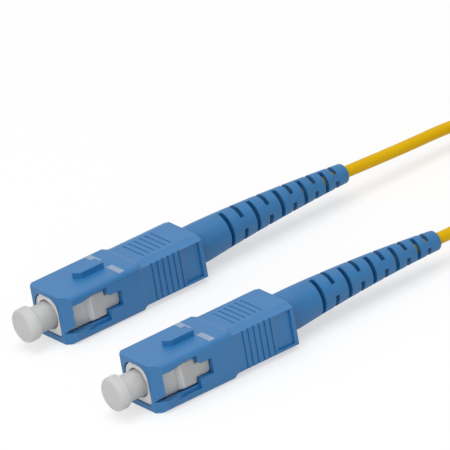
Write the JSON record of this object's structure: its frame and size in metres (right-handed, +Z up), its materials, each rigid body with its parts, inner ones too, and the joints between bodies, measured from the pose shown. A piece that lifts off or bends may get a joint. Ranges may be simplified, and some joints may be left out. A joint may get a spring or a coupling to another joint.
{
  "type": "fibre optic patch cable",
  "caption": "Simplex fibre optic patch cable with push-pull square plugs, slotted bend relief boots and ferrule dust caps; its yellow jacketed cable is tied in a coil.",
  "frame": {"origin": "bottom centre of the box round the two plugs with their boots and caps, on the resting surface", "axes": "+X from the dust caps towards the cable, +Y from the near plug to the far one, +Z up, the keys' side"},
  "size_m": [0.1117, 0.0366, 0.008],
  "materials": {
    "blue_plastic": "satin moulded",
    "white_plastic": "satin moulded",
    "ceramic": "polished zirconia",
    "steel": "turned",
    "spring_steel": "drawn wire",
    "aluminium": "turned",
    "aramid": "loose yarn",
    "plated_brass": "nickel plated",
    "buffer_plastic": "extruded",
    "yellow_jacket": "extruded, satin",
    "blue_rubber": "moulded, satin",
    "cap_plastic": "translucent, soft moulded",
    "tie_fabric": "hook and loop strap"
  },
  "bodies": {
    "cable": {"plug_frame_a": "white_plastic", "spring_a": "spring_steel", "spring_stop_a": "aluminium", "aramid_yarn_a": "aramid", "crimp_sleeve_a": "plated_brass", "fibre_buffer_a": "buffer_plastic", "cable_end_a": "yellow_jacket", "boot_a": "blue_rubber", "plug_frame_b": "white_plastic", "spring_b": "spring_steel", "spring_stop_b": "aluminium", "aramid_yarn_b": "aramid", "crimp_sleeve_b": "plated_brass", "fibre_buffer_b": "buffer_plastic", "cable_end_b": "yellow_jacket", "boot_b": "blue_rubber", "cable_lead_a": "yellow_jacket", "cable_lead_b": "yellow_jacket", "cable_coil": "yellow_jacket", "coil_tie": "tie_fabric"},
    "housing_a": {"outer_housing_a": "blue_plastic"},
    "ferrule_a": {"ferrule_a": "ceramic", "ferrule_flange_a": "steel"},
    "cap_a": {"dust_cap_a": "cap_plastic"},
    "housing_b": {"outer_housing_b": "blue_plastic"},
    "ferrule_b": {"ferrule_b": "ceramic", "ferrule_flange_b": "steel"},
    "cap_b": {"dust_cap_b": "cap_plastic"}
  },
  "joints": [
    {"name": "housing_pull_a", "type": "slide", "parent": "cable", "child": "housing_a", "axis": [1, 0, 0], "range_m": [0, 0.0018]},
    {"name": "ferrule_float_a", "type": "slide", "parent": "cable", "child": "ferrule_a", "axis": [1, 0, 0], "range_m": [0, 0.0011], "stiffness_N_per_m": 1500, "springref_m": -0.005, "deforming": ["spring_a"]},
    {"name": "cap_pull_a", "type": "slide", "parent": "ferrule_a", "child": "cap_a", "axis": [-1, 0, 0], "range_m": [0, 0.01]},
    {"name": "housing_pull_b", "type": "slide", "parent": "cable", "child": "housing_b", "axis": [1, 0, 0], "range_m": [0, 0.0018]},
    {"name": "ferrule_float_b", "type": "slide", "parent": "cable", "child": "ferrule_b", "axis": [1, 0, 0], "range_m": [0, 0.0011], "stiffness_N_per_m": 1500, "springref_m": -0.005, "deforming": ["spring_b"]},
    {"name": "cap_pull_b", "type": "slide", "parent": "ferrule_b", "child": "cap_b", "axis": [-1, 0, 0], "range_m": [0, 0.01]}
  ]
}
